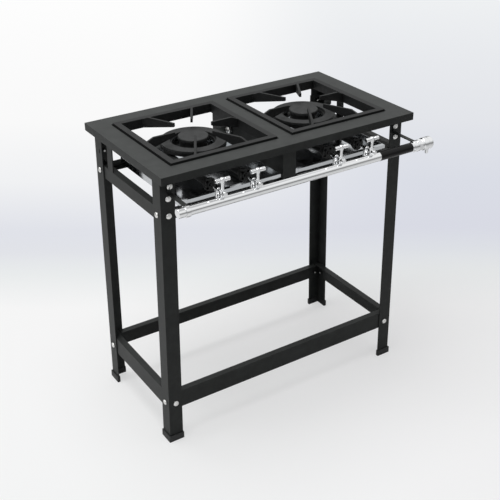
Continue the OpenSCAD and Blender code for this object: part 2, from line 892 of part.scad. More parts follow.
// one strip bent round the manifold, back to the leg and up its face
module brackets() color(paint)
    both_sides() {
        left = bracket_x - bracket_width / 2;
        right = bracket_x + bracket_width / 2;
        difference() {
            union() {
                manifold_rod(left, right, band_radius);
                span([left, -manifold_front, arm_top - bracket_sheet], [right, -leg_y, arm_top]);
                span([left, -leg_y - bracket_sheet, arm_top - bracket_sheet], [right, -leg_y, bracket_top]);
            }
            manifold_rod(0, far, manifold_radius);
            bracket_screw_shank(1);
        }
    }

module bracket_screw_shank(side) {
    rod_y(side * bracket_x, -leg_y - bracket_sheet, -rail_back + 3, bracket_screw_z, bolt_radius - 0.5);
}

module bracket_screws() color(zinc)
    both_sides() {
        bracket_screw_shank(1);
        rod_y(bracket_x, -leg_y - bracket_sheet - bolt_head_height, -leg_y - bracket_sheet,
              bracket_screw_z, bolt_head_radius);
    }

// ---- leg fasteners ----

module leg_bolts() color(zinc)
    at_leg_bolts()
        difference() {
            union() {
                cylinder(r = bolt_head_radius, h = bolt_head_height - 2);
                translate([0, 0, bolt_head_height - 2])
                    cylinder(r1 = bolt_head_radius, r2 = bolt_head_radius - 2.5, h = 2);
                translate([0, 0, -leg_sheet - rail_sheet - nut_height - 1])
                    cylinder(r = bolt_radius, h = leg_sheet + rail_sheet + nut_height + 2);
            }
            span([-far, -slot_width / 2, bolt_head_height - slot_depth], [far, slot_width / 2, far]);
        }

module leg_nuts() color(zinc)
    at_leg_bolts()
        translate([0, 0, -leg_sheet - rail_sheet - nut_height])
            difference() {
                cylinder(r = nut_radius, h = nut_height, $fn = 6);
                translate([0, 0, -1]) cylinder(r = bolt_radius, h = nut_height + 2);
            }

// ---- drip trays ----

module tray(side) color(sheet_metal) {
    left = side * tray_x - tray_width / 2;
    right = side * tray_x + tray_width / 2;
    front = tray_front + tray_overhang;
    back = tray_front + tray_depth;
    difference() {
        span([left, front, tray_bottom], [right, back, tray_top]);
        span([left + tray_sheet, front + tray_sheet, tray_bottom + tray_sheet],
             [right - tray_sheet, back - tray_sheet, tray_top + 1]);
    }
    span([left, tray_front, tray_top - tray_sheet], [right, front + tray_sheet, tray_top]);
    span([left, tray_front, tray_top - tray_lip], [right, tray_front + tray_sheet, tray_top]);
}

// ---- the stove ----

placed() top_pan();
placed() leg(-1, -1);  // leg_front_left
placed() leg(1, -1);  // leg_front_right
placed() leg(-1, 1);  // leg_back_left
placed() leg(1, 1);  // leg_back_right
placed() shoes();
placed() lower_end_rail(-1);  // lower_rail_front
placed() lower_end_rail(1);  // lower_rail_back
placed() side_rail(-1, lower_rail_bottom, lower_rail_top);  // lower_rail_left
placed() side_rail(1, lower_rail_bottom, lower_rail_top);  // lower_rail_right
placed() upper_end_rail(-1);  // upper_rail_front
placed() upper_end_rail(1);  // upper_rail_back
placed() upper_side_rail(-1);  // upper_rail_left
placed() upper_side_rail(1);  // upper_rail_right
placed() strap(-1);  // strap_left
placed() strap(1);  // strap_right
placed() divider();
placed() divider_bolts();
placed() tray_runners();
placed() burner_bars_front();
placed() burner_bars_rear();
placed() leg_bolts();
placed() leg_nuts();
placed() grate(-1);  // grate_left
placed() grate(1);  // grate_right
placed() ring_casting(-1);  // ring_casting_left
placed() ring_casting(1);  // ring_casting_right
placed() ring_cap(-1);  // ring_cap_left
placed() ring_cap(1);  // ring_cap_right
placed() bowl(-1);  // bowl_left
placed() bowl(1);  // bowl_right
placed() cap(-1);  // cap_left
placed() cap(1);  // cap_right
placed() tubes(-1);  // tubes_left
placed() tubes(1);  // tubes_right
placed() shutter(0);  // shutter_1
placed() shutter(1);  // shutter_2
placed() shutter(2);  // shutter_3
placed() shutter(3);  // shutter_4
placed() tap_body(0);  // tap_body_1
placed() tap_body(1);  // tap_body_2
placed() tap_body(2);  // tap_body_3
placed() tap_body(3);  // tap_body_4
placed() tap_handle(0);  // tap_handle_1
placed() tap_handle(1);  // tap_handle_2
placed() tap_handle(2);  // tap_handle_3
placed() tap_handle(3);  // tap_handle_4
placed() injectors();
placed() manifold_tube();
placed() manifold_cap();
placed() manifold_sleeve();
placed() inlet_union();
placed() inlet_body();
placed() brackets();
placed() bracket_screws();
placed() tray(-1);  // tray_left
placed() tray(1);  // tray_right
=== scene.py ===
"""Two-burner gas stove on an angle-iron stand: its finishes, turned pieces, stage, lights and camera."""
import json
import math

import bmesh
import bpy
from mathutils import Matrix, Vector

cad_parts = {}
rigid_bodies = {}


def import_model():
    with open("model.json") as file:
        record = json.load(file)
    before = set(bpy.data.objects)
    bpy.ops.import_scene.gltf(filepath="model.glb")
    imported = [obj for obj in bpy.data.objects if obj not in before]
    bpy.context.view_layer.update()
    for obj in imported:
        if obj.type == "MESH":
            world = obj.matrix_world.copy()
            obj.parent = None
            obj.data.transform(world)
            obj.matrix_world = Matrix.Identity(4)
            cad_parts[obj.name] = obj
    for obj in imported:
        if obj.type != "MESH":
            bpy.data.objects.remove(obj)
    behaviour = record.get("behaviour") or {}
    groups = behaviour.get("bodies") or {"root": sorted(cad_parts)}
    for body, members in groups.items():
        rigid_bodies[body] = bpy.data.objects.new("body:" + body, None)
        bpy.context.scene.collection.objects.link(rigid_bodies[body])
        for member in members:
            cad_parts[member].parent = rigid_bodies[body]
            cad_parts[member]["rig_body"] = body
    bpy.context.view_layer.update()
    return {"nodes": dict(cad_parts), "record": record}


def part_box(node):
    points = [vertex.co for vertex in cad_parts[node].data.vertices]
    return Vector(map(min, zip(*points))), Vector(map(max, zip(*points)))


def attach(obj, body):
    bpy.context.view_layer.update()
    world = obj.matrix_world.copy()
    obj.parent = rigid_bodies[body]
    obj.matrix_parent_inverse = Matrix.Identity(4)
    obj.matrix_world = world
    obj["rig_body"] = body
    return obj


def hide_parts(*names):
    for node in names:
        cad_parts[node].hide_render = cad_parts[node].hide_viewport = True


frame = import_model()

MM = 0.001


def place_of(node):
    """The lowest and the highest corner of a CAD node, in millimetres."""
    low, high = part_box(node)
    return low / MM, high / MM


def placed(name, data):
    """A new object in the scene."""
    thing = bpy.data.objects.new(name, data)
    bpy.context.scene.collection.objects.link(thing)
    return thing


# ---- materials ----

def linear(code):
    """An sRGB hex colour as the linear colour that a node takes."""
    parts = [int(code[i:i + 2], 16) / 255 for i in (0, 2, 4)]
    return tuple(p / 12.92 if p <= 0.04045 else ((p + 0.055) / 1.055) ** 2.4 for p in parts) + (1.0,)


def add(tree, kind, sockets=None, **settings):
    """Adds a node, sets its settings, and sets or links its input sockets."""
    node = tree.nodes.new(kind)
    for key, value in settings.items():
        setattr(node, key, value)
    for key, value in (sockets or {}).items():
        if isinstance(value, bpy.types.NodeSocket):
            tree.links.new(value, node.inputs[key])
        else:
            node.inputs[key].default_value = value
    return node


def tone(tree, value, *pairs):
    """A colour ramp over a value, from (position, hex colour) pairs."""
    node = add(tree, "ShaderNodeValToRGB", {"Fac": value})
    ramp = node.color_ramp
    while len(ramp.elements) < len(pairs):
        ramp.elements.new(0.5)
    for element, (position, code) in zip(ramp.elements, pairs):
        element.position = position
        element.color = linear(code)
    return node.outputs["Color"]


def noise(tree, place, grain, detail, roughness=0.5):
    """Cloudy noise from 0 to 1 with its grain in millimetres."""
    node = add(tree, "ShaderNodeTexNoise",
               {"Vector": place, "Scale": 1 / (grain * MM), "Detail": detail, "Roughness": roughness})
    return node.outputs["Fac"]


def spread(tree, value, low, high):
    """A value from 0 to 1 spread between two limits."""
    return add(tree, "ShaderNodeMapRange", {"Value": value, "To Min": low, "To Max": high}).outputs["Result"]


def relief(tree, height, strength, depth, **under):
    """A bumped normal with its depth in millimetres."""
    node = add(tree, "ShaderNodeBump",
               {"Height": height, "Strength": strength, "Distance": depth * MM, **under})
    return node.outputs["Normal"]


def new_material(name):
    """An empty material, its node tree and the piece's own coordinates."""
    material = bpy.data.materials.new(name)
    material.use_nodes = True
    tree = material.node_tree
    tree.nodes.clear()
    return material, tree, add(tree, "ShaderNodeTexCoord").outputs["Object"]


def surface(tree, shader):
    """Links a shader to the material's output."""
    add(tree, "ShaderNodeOutputMaterial", {"Surface": shader})


def coat(tree, sockets):
    """Gives a material one shader with these sockets."""
    surface(tree, add(tree, "ShaderNodeBsdfPrincipled", sockets).outputs["BSDF"])


def powder_coated_steel():
    """Polyester powder coat on sheet steel, charcoal, semi-matt: a fine orange peel breaks up the sheen."""
    material, tree, place = new_material("charcoal_powder_coat")
    cloud = noise(tree, place, 40, 5.0, 0.7)
    coat(tree, {
        "Base Color": tone(tree, cloud, (0.32, "262827"), (0.68, "343635")),
        "Roughness": spread(tree, cloud, 0.40, 0.50), "Specular IOR Level": 0.2,
        "Normal": relief(tree, noise(tree, place, 1.6, 2.0), 0.18, 0.12)})
    return material


def sand_cast_iron(name, dark, pale):
    """Grey iron cast in green sand and painted matt black: a coarse grain that catches small highlights."""
    material, tree, place = new_material(name)
    grain, lumps = noise(tree, place, 1.4, 4.0, 0.6), noise(tree, place, 14, 4.0)
    coat(tree, {
        "Base Color": tone(tree, lumps, (0.30, dark), (0.72, pale)),
        "Roughness": spread(tree, grain, 0.46, 0.64), "Specular IOR Level": 0.3,
        "Normal": relief(tree, lumps, 0.25, 0.6, Normal=relief(tree, grain, 0.45, 0.25))})
    return material


def polished_chrome():
    """Bright chromium on brass and steel tube, buffed: soft-edged reflections with the faintest waviness."""
    material, tree, place = new_material("polished_chrome")
    coat(tree, {
        "Base Color": linear("E8E9EA"), "Metallic": 1.0,
        "Roughness": spread(tree, noise(tree, place, 3, 3.0), 0.06, 0.11),
        "Normal": relief(tree, noise(tree, place, 22, 2.0), 0.10, 0.3)})
    return material


def zinc_plated_steel():
    """Electroplated zinc on cold-headed screws: pale, satin, a little cloudy."""
    material, tree, place = new_material("zinc_plated_steel")
    cloud = noise(tree, place, 4, 3.0)
    coat(tree, {
        "Base Color": tone(tree, cloud, (0.30, "DEDEDC"), (0.70, "ECECEA")), "Metallic": 1.0,
        "Roughness": spread(tree, cloud, 0.26, 0.40)})
    return material


def rolled_sheet():
    """Bright rolled sheet of the trays: a cloudy mirror with fine rolling lines from front to back."""
    material, tree, place = new_material("bright_rolled_sheet")
    across, along = 1 / (1.2 * MM), 1 / (80 * MM)
    lines = add(tree, "ShaderNodeMapping", {"Vector": place, "Scale": (across, along, across)})
    grain = add(tree, "ShaderNodeTexNoise",
                {"Vector": lines.outputs["Vector"], "Scale": 1.0, "Detail": 2.0}).outputs["Fac"]
    coat(tree, {
        "Base Color": tone(tree, noise(tree, place, 60, 3.0), (0.30, "C3C6C9"), (0.70, "CDD0D2")),
        "Metallic": 1.0, "Roughness": spread(tree, grain, 0.08, 0.14),
        "Normal": relief(tree, grain, 0.05, 0.05)})
    return material


def moulded_black_plastic():
    """Injection-moulded polyethylene, spark-eroded mould: dull black with a fine even grain."""
    material, tree, place = new_material("moulded_black_plastic")
    coat(tree, {
        "Base Color": tone(tree, noise(tree, place, 12, 3.0), (0.35, "1A1B1B"), (0.75, "242525")),
        "Roughness": 0.55, "IOR": 1.5,
        "Normal": relief(tree, noise(tree, place, 0.9, 2.0), 0.25, 0.1)})
    return material


def black_sleeve():
    """Shrunk-on polyolefin sleeve, left bare: satin black with soft ripples along the tube."""
    material, tree, place = new_material("black_shrink_sleeve")
    ripple = noise(tree, place, 7, 2.0)
    coat(tree, {
        "Base Color": linear("0C0C0D"), "Roughness": spread(tree, ripple, 0.28, 0.38), "IOR": 1.5,
        "Specular IOR Level": 0.2, "Normal": relief(tree, ripple, 0.2, 0.3)})
    return material


FINISHES = {
    "paint": powder_coated_steel(),
    "iron": sand_cast_iron("sand_cast_iron", "0E0F0F", "181919"),
    # Painted light: a paler copy of the cast iron for the caps, as if lit from above.
    "iron_with_painted_light": sand_cast_iron("cast_iron_with_painted_light", "1E1F1F", "2B2C2C"),
    "chrome": polished_chrome(),
    "zinc": zinc_plated_steel(),
    "galvanised": rolled_sheet(),
    "plastic": moulded_black_plastic(),
    "sleeve": black_sleeve(),
}
NODE_SLOT = {part["node"]: part["material_slot"] for part in frame["record"]["subparts"]}
NODE_BODY = {name: piece["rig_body"] for name, piece in frame["nodes"].items()}


# ---- making pieces ----

# Edges steeper than SHARP split the shading. Those steeper than CORNER may be rounded; the shortest rounded
# edge is given in millimetres.
SHARP, CORNER, SHORTEST_ROUNDED = math.radians(25), math.radians(35), 3.5
# A node's points nearer than WELD are one point, and its faces flatter than FLAT are one face. In a turned
# shape, points nearer than CLOSE are one.
WELD, FLAT, CLOSE = 0.002, math.radians(1), 0.001
RIGHT, AHEAD, BACK, UP = (1, 0, 0), (0, -1, 0), (0, 1, 0), (0, 0, 1)
# Steps round a turned shape: the manifold's pieces, the union nut, taps and screws, and shanks.
TUBE_STEPS, NUT_STEPS, TAP_STEPS, SHANK_STEPS = 96, 64, 40, 24


def finish(bm, name, slot, body, nodes, look=None):
    """Turns a bmesh into a piece: outward normals, shading split at its edges, material, body, nodes."""
    bmesh.ops.recalc_face_normals(bm, faces=bm.faces)
    for face in bm.faces:
        face.smooth = True
    for edge in bm.edges:
        edge.smooth = len(edge.link_faces) == 2 and edge.calc_face_angle(0.0) < SHARP
    mesh = bpy.data.meshes.new(name)
    bm.to_mesh(mesh)
    bm.free()
    mesh.materials.append(FINISHES[look or slot])
    piece = placed(name, mesh)
    flat = piece.modifiers.new("flat_faces_shade_flat", "WEIGHTED_NORMAL")
    flat.weight = 100
    flat.keep_sharp = True
    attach(piece, body)
    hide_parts(*nodes)


def bevel(bm, edges, width):
    """Rounds edges to a width in the mesh's own unit."""
    bmesh.ops.bevel(bm, geom=edges, offset=width, offset_type="OFFSET", segments=2, profile=0.5,
                    affect="EDGES", clamp_overlap=True, material=-1)


def corner(edge):
    return edge.calc_face_angle(0.0) > CORNER


def long_corner(edge):
    return corner(edge) and edge.calc_length() > SHORTEST_ROUNDED * MM


def eased(node, width, chosen=long_corner, slot=None, look=None):
    """A node's own shape with its chosen edges rounded to a width in millimetres."""
    bm = bmesh.new()
    bm.from_mesh(frame["nodes"][node].data)
    bmesh.ops.remove_doubles(bm, verts=bm.verts, dist=WELD * MM)
    bmesh.ops.dissolve_limit(bm, angle_limit=FLAT, verts=bm.verts, edges=bm.edges)
    if width:
        bevel(bm, [e for e in bm.edges if len(e.link_faces) == 2 and chosen(e)], width * MM)
    finish(bm, node + "_eased", slot or NODE_SLOT[node], NODE_BODY[node], [node], look)


def put(bm, shape, matrix):
    """Moves a shape's mesh by a matrix in millimetres and joins it to a larger one."""
    bmesh.ops.transform(shape, matrix=Matrix.Scale(MM, 4) @ matrix, verts=shape.verts)
    mesh = bpy.data.meshes.new("joined")
    shape.to_mesh(mesh)
    shape.free()
    bm.from_mesh(mesh)
    bpy.data.meshes.remove(mesh)


def turned(profile, steps=48):
    """A solid turned about Z from (radius, height) points in millimetres."""
    bm = bmesh.new()
    points = [bm.verts.new((radius, 0, height)) for radius, height in profile]
    wire = [bm.edges.new(pair) for pair in zip(points, points[1:])]
    bmesh.ops.spin(bm, geom=points + wire, cent=(0, 0, 0), axis=UP, angle=math.tau, steps=steps,
                   use_merge=True)
    bmesh.ops.remove_doubles(bm, verts=bm.verts, dist=CLOSE)
    return bm


def hexagon(radius, height, soft):
    """A hexagonal bar standing on Z = 0 with softened edges."""
    bm = bmesh.new()
    place = Matrix.Translation((0, 0, height / 2)) @ Matrix.Rotation(math.radians(30), 4, "Z")
    bmesh.ops.create_cone(bm, cap_ends=True, segments=6, radius1=radius, radius2=radius, depth=height,
                          matrix=place)
    bevel(bm, bm.edges[:], soft)
    return bm


def strip(profile, width, soft=0.4):
    """A bent strip, centred on X = 0, from its (Y, Z) outline in millimetres."""
    bm = bmesh.new()
    side = bm.faces.new([bm.verts.new((-width / 2, y, z)) for y, z in profile])
    grown = bmesh.ops.extrude_face_region(bm, geom=[side])["geom"]
    bmesh.ops.translate(bm, verts=[v for v in grown if isinstance(v, bmesh.types.BMVert)],
                        vec=(width, 0, 0))
    bevel(bm, bm.edges[:], soft)
    return bm


def facing(place, axis):
    """Stands a shape on a place with its own Z along an axis."""
    return Matrix.Translation(place) @ Vector(axis).to_track_quat("Z", "X").to_matrix().to_4x4()


# ---- sheet, angle and cast parts ----

# They keep their own shape and lose their knife edges: the rounding's width, and the nodes.
for width, names in (
        (0.9, ("leg_front_left", "leg_front_right", "leg_back_left", "leg_back_right")),
        (0.5, ("lower_rail_front", "lower_rail_back", "lower_rail_left", "lower_rail_right",
               "upper_rail_front", "upper_rail_back", "upper_rail_left", "upper_rail_right",
               "strap_left", "strap_right", "burner_bars_front", "burner_bars_rear", "divider",
               "tray_runners")),
        (0.3, ("tray_left", "tray_right")),
        (0, ("tubes_left", "tubes_right", "ring_casting_left", "ring_casting_right", "bowl_left",
             "bowl_right")),
        (0.9, ("top_pan",)),
        (1.4, ("shoes",))):
    for name in names:
        eased(name, width)

# The caps are rounded round their tops: down to this depth, on edges that rise less than this.
CAP_RIM_DEPTH, LEVEL = 2.2, 0.1
for side in ("left", "right"):
    eased("grate_" + side, 1.3)
    cap_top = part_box("cap_" + side)[1].z
    ring_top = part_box("ring_cap_" + side)[1].z
    # Painted light: the caps and ring caps face the overhead lamp, so they get a paler copy of the grates'
    # iron.
    eased("cap_" + side, 0.6, lambda e: all(v.co.z > cap_top - CAP_RIM_DEPTH * MM for v in e.verts)
          and abs(e.verts[0].co.z - e.verts[1].co.z) < LEVEL * MM, look="iron_with_painted_light")
    eased("ring_cap_" + side, 1.0,
          lambda e: corner(e) and all(v.co.z > ring_top - LEVEL * MM for v in e.verts),
          look="iron_with_painted_light")
for number in (1, 2, 3, 4):
    eased(f"shutter_{number}", 0.3, corner)


# ---- manifold ----

low, high = place_of("manifold_tube")
middle = (low + high) / 2
manifold_y, manifold_z = middle.y, middle.z
tube_start, tube_end = low.x, high.x
TUBE_RADIUS = 12.0
bore = TUBE_RADIUS - 2.0
spigot = bore - 0.02


def along_manifold(x):
    return facing((x, manifold_y, manifold_z), RIGHT)


bm = bmesh.new()
put(bm, turned([(bore, tube_start), (TUBE_RADIUS - 0.4, tube_start), (TUBE_RADIUS, tube_start + 0.4),
                (TUBE_RADIUS, tube_end - 0.4), (TUBE_RADIUS - 0.4, tube_end), (bore, tube_end),
                (bore, tube_start)], TUBE_STEPS), along_manifold(0))
finish(bm, "manifold_pipe", "chrome", "stove", ["manifold_tube"])

# The blind end is a turned plug with a softened face and a groove where it meets the tube.
plug_face = place_of("manifold_cap")[0].x
bm = bmesh.new()
put(bm, turned([(0, plug_face), (TUBE_RADIUS - 2.0, plug_face), (TUBE_RADIUS - 0.6, plug_face + 0.5),
                (TUBE_RADIUS, plug_face + 1.6), (TUBE_RADIUS, tube_start - 1.6),
                (TUBE_RADIUS - 0.8, tube_start - 1.1), (TUBE_RADIUS - 0.8, tube_start),
                (spigot, tube_start), (spigot, tube_start + 9), (0, tube_start + 10)], TUBE_STEPS),
    along_manifold(0))
finish(bm, "manifold_plug", "chrome", "stove", ["manifold_cap"])

low, high = place_of("manifold_sleeve")
bm = bmesh.new()
put(bm, turned([(TUBE_RADIUS, low.x), (TUBE_RADIUS + 0.3, low.x), (TUBE_RADIUS + 0.5, low.x + 0.4),
                (TUBE_RADIUS + 0.5, high.x - 0.4), (TUBE_RADIUS + 0.3, high.x), (TUBE_RADIUS, high.x),
                (TUBE_RADIUS, low.x)], TUBE_STEPS), along_manifold(0))
finish(bm, "bare_sleeve", "sleeve", "stove", ["manifold_sleeve"])

# Each bracket is a painted strip from a leg, on a bright band that goes round the tube.
low, high = place_of("brackets")
BRACKET_WIDTH, BRACKET_SHEET, BAND_RADIUS = 12.0, 2.5, 14.4
half_width = BRACKET_WIDTH / 2
arm_top = manifold_z + 14.2
arm_under = arm_top - BRACKET_SHEET
arms, bands = bmesh.new(), bmesh.new()
for bracket_x in (low.x + half_width, high.x - half_width):
    put(arms, strip([(manifold_y - 1, arm_under), (high.y - 1.5, arm_under), (high.y - 0.4, arm_under + 0.4),
                     (high.y, arm_under + 1.5), (high.y, high.z), (high.y - BRACKET_SHEET, high.z),
                     (high.y - BRACKET_SHEET, arm_top), (manifold_y - 1, arm_top)], BRACKET_WIDTH),
        Matrix.Translation((bracket_x, 0, 0)))
    put(bands, turned([(TUBE_RADIUS, -half_width), (BAND_RADIUS - 0.5, -half_width),
                       (BAND_RADIUS, 0.5 - half_width), (BAND_RADIUS, half_width - 0.5),
                       (BAND_RADIUS - 0.5, half_width), (TUBE_RADIUS, half_width),
                       (TUBE_RADIUS, -half_width)], TUBE_STEPS), along_manifold(bracket_x))
finish(arms, "bracket_arms", "paint", "stove", ["brackets"])
finish(bands, "bracket_bands", "chrome", "stove", ["brackets"])

# The union nut is hexagonal between two turned shoulders and grips the tube's end from inside.
nut_end = place_of("inlet_union")[1].x
NUT_NECK, NUT_SHOULDER, SHOULDER_WIDTH, NUT_CORNER, NUT_GRIP = 14.8, 15.3, 3, 17.6, 7.5
bm = bmesh.new()
put(bm, turned([(0, tube_end - NUT_GRIP), (spigot, tube_end - NUT_GRIP), (spigot, tube_end),
                (NUT_NECK - 0.2, tube_end), (NUT_SHOULDER, tube_end + 0.7),
                (NUT_SHOULDER, tube_end + SHOULDER_WIDTH), (NUT_NECK, tube_end + SHOULDER_WIDTH + 0.4),
                (NUT_NECK, nut_end - SHOULDER_WIDTH - 0.4), (NUT_SHOULDER, nut_end - SHOULDER_WIDTH),
                (NUT_SHOULDER, nut_end - 0.6), (NUT_NECK, nut_end), (0, nut_end)], NUT_STEPS),
    along_manifold(0))
put(bm, hexagon(NUT_CORNER, nut_end - tube_end - 2 * SHOULDER_WIDTH, 0.6),
    along_manifold(tube_end + SHOULDER_WIDTH))
finish(bm, "union_nut", "chrome", "stove", ["inlet_union"])

# The inlet body is a turned barrel with two grooves; its barbed tail points down.
low, high = place_of("inlet_body")
BARREL_RADIUS = 17
TAIL_INSET, TAIL_LENGTH, TAIL_RADIUS, BARB_RADIUS, BARB_PITCH = 9, 17.0, 4.2, 5.0, 3.6
bm = bmesh.new()
put(bm, turned([(0, low.x), (14.5, low.x), (15.0, low.x + 0.6), (15.0, low.x + 3), (16.2, low.x + 3.6),
                (BARREL_RADIUS, low.x + 4.6), (BARREL_RADIUS, low.x + 17), (16.2, low.x + 17.6),
                (16.2, low.x + 19), (BARREL_RADIUS, low.x + 19.6), (BARREL_RADIUS, high.x - 3.2),
                (16.4, high.x - 1.4), (14.8, high.x - 0.3), (12.5, high.x), (0, high.x)], TUBE_STEPS),
    along_manifold(0))
tail = [(0, 0), (3.6, 0), (TAIL_RADIUS, 0.8)]
for count in (1, 2, 3):
    barb = BARB_PITCH * count
    tail += [(BARB_RADIUS, barb), (BARB_RADIUS, barb + 0.6), (TAIL_RADIUS, barb + 0.9)]
tail += [(TAIL_RADIUS, TAIL_LENGTH), (0, TAIL_LENGTH)]
put(bm, turned(tail), facing((high.x - TAIL_INSET, manifold_y, low.z), UP))
finish(bm, "inlet_barrel", "chrome", "stove", ["inlet_body"])


# ---- taps ----

# The bar of a tap's tee, from its left end.
BAR = [(0, 0), (4.4, 0), (5.0, 0.3), (5.2, 0.9), (5.2, 12.2), (4.8, 12.8), (3.7, 13.0), (3.7, 20),
       (3.7, 27.0), (4.8, 27.2), (5.2, 27.8), (5.2, 39.1), (5.0, 39.7), (4.4, 40), (0, 40)]
# The tee's boss rises this far above the middle of its bar; the gas way lies that far below it.
BOSS_RISE, GAS_WAY_DROP = 6.2, 33


def stem_of(number):
    """The X and Y of a tap's stem, the height of its bar and the height of its gas way."""
    low, high = place_of(f"tap_handle_{number}")
    middle = (low + high) / 2
    bar_z = high.z - BOSS_RISE
    return middle.x, middle.y, bar_z, bar_z - GAS_WAY_DROP


for number in (1, 2, 3, 4):
    handle, valve = f"tap_handle_{number}", f"tap_body_{number}"
    stem_x, stem_y, bar_z, axis_z = stem_of(number)
    low = place_of(handle)[0]
    bm = bmesh.new()
    put(bm, turned([(0, low.z), (3.95, low.z), (3.95, bar_z - 9), (4.6, bar_z - 8.2), (4.6, bar_z - 6.6),
                    (5.7, bar_z - 5.6), (5.8, bar_z - 4), (5.8, bar_z + 3.6), (5.4, bar_z + 4.8),
                    (4.2, bar_z + 5.8), (2.4, bar_z + BOSS_RISE), (0, bar_z + BOSS_RISE)], TAP_STEPS),
        Matrix.Translation((stem_x, stem_y, 0)))
    put(bm, turned(BAR, TAP_STEPS), facing((low.x, stem_y, bar_z), RIGHT))
    finish(bm, f"tap_{number}_tee", "chrome", NODE_BODY[handle], [handle])

    nose_y = place_of(valve)[0].y
    bm = bmesh.new()
    put(bm, turned([(0, 0), (3.2, 0), (3.6, 0.5), (4.8, 0.9), (5.4, 1.6), (5.4, 4.2), (5.8, 4.8), (6.2, 5.4),
                    (6.2, 10), (5.7, 10.6), (5.7, 13), (6.2, 13.6), (6.2, 22.6), (5.4, 23.6), (0, 23.6)],
                   TAP_STEPS), facing((stem_x, nose_y, axis_z), BACK))
    put(bm, hexagon(6.0, 3.6, 0.4), facing((stem_x, nose_y + 0.8, axis_z), BACK))
    put(bm, turned([(5.6, manifold_z + 9), (5.6, axis_z - 4), (6.2, axis_z - 2), (6.5, axis_z),
                    (6.5, axis_z + 6), (6.0, axis_z + 6.2), (0, axis_z + 6.2)], TAP_STEPS),
        Matrix.Translation((stem_x, stem_y, 0)))
    put(bm, hexagon(7.7, 3.9, 0.5), Matrix.Translation((stem_x, stem_y, axis_z + 6)))
    finish(bm, f"tap_{number}_valve", "chrome", NODE_BODY[valve], [valve])


# ---- screws ----

# A head rises straight to its edge and is domed from there.
SLOT_WIDTH, SLOT_DEPTH, HEAD_EDGE = 1.4, 1.3, 1.2
# Each slot is turned this far from the one before it.
SLOT_TURN = math.radians(67)
# The places below are measured from the middle of the top, which lies here in the shared frame.
SHIFT = Vector((-7.285, 33.25, 0))
# The outer faces and the top of the legs, where they meet; from there the side faces lean out by the splay.
LEG_X, LEG_Y, LEG_TOP = 371.0, 181.0, 798.0
SPLAY = math.radians(1)
# From a leg's outer corner to the row of its bolts.
BOLT_INSET = 21.0
# How far down a leg the bolts of its front or back face are; its side face has the lower two.
BOLTS_DOWN = (70.0, 115.5, 675.24)
BRACKET_SCREW_X, BRACKET_SCREW_Y, BRACKET_SCREW_Z = 347.0, -183.5, 759.7
DIVIDER_BOLT_X, DIVIDER_BOLT_Y, DIVIDER_BOLT_Z = 23.0, 77.0, 745.0


def screw_head(radius, height):
    """A domed head on Z = 0 with a straight slot sawn across it."""
    dome = [(0, 0), (radius - 0.5, 0), (radius, 0.5), (radius, HEAD_EDGE)]
    dome += [(radius * math.cos(a), HEAD_EDGE + (height - HEAD_EDGE) * math.sin(a))
             for a in (math.radians(degrees) for degrees in range(12, 90, 12))] + [(0, height)]
    bm = turned(dome, TAP_STEPS)
    half, bed = SLOT_WIDTH / 2, height - SLOT_DEPTH
    for normal, point in ((BACK, (0, half, 0)), (AHEAD, (0, -half, 0)), (UP, (0, 0, bed))):
        bmesh.ops.bisect_plane(bm, geom=bm.verts[:] + bm.edges[:] + bm.faces[:], dist=0.0001,
                               plane_co=point, plane_no=normal)
    lost = []
    for face in bm.faces:
        centre = face.calc_center_median()
        if abs(centre.y) < half and centre.z > bed:
            lost.append(face)
    bmesh.ops.delete(bm, geom=lost, context="FACES")
    rim = [e for e in bm.edges if e.is_boundary]
    ends = [v for v in bm.verts
            if v.is_boundary and abs(v.co.z - bed) < CLOSE and abs(abs(v.co.y) - half) < CLOSE]
    sills = [bm.edges.new([v for v in ends if v.co.y * side > 0]) for side in (-1, 1)]
    bmesh.ops.edgenet_fill(bm, edges=rim + sills)
    return bm


def screws(name, slot, node, seats, radius, height, shank, tail):
    """One piece with a slotted screw at every seat; each shank runs down to a tail."""
    bm = bmesh.new()
    for count, (place, axis) in enumerate(seats):
        turn = facing(Vector(place) + SHIFT, axis) @ Matrix.Rotation(SLOT_TURN * count, 4, "Z")
        put(bm, screw_head(radius, height), turn)
        put(bm, turned([(0, 0.01), (shank, 0.01), (shank, tail + 0.6), (shank - 0.6, tail), (0, tail)],
                       SHANK_STEPS), turn)
    finish(bm, name, slot, "stove", [node])


def leg_bolt_seats():
    """The place and the axis of each leg bolt, leg by leg."""
    for side in (-1, 1):
        for end in (-1, 1):
            for down in BOLTS_DOWN:
                yield ((side * (LEG_X - BOLT_INSET * math.cos(SPLAY) + down * math.sin(SPLAY)), end * LEG_Y,
                        LEG_TOP - BOLT_INSET * math.sin(SPLAY) - down * math.cos(SPLAY)), (0, end, 0))
            for down in BOLTS_DOWN[1:]:
                yield ((side * (LEG_X + down * math.sin(SPLAY)), end * (LEG_Y - BOLT_INSET),
                        LEG_TOP - down * math.cos(SPLAY)), (side * math.cos(SPLAY), 0, math.sin(SPLAY)))


screws("leg_screws", "zinc", "leg_bolts", leg_bolt_seats(), radius=7.75, height=4.5, shank=3.0, tail=-11.0)
# Painted shade: the nuts take the frame's dark paint instead of zinc, so they stay as dark as the shade
# inside the legs.
eased("leg_nuts", 0.4, slot="paint")
screws("bracket_heads", "zinc", "bracket_screws",
       [((side * BRACKET_SCREW_X, BRACKET_SCREW_Y, BRACKET_SCREW_Z), AHEAD) for side in (-1, 1)],
       radius=7.75, height=4.5, shank=2.5, tail=-8.5)
screws("divider_heads", "zinc", "divider_bolts",
       [((side * DIVIDER_BOLT_X, DIVIDER_BOLT_Y, DIVIDER_BOLT_Z), (side, 0, 0)) for side in (-1, 1)],
       radius=9.5, height=7.0, shank=3.0, tail=-10.0)


# ---- jets ----

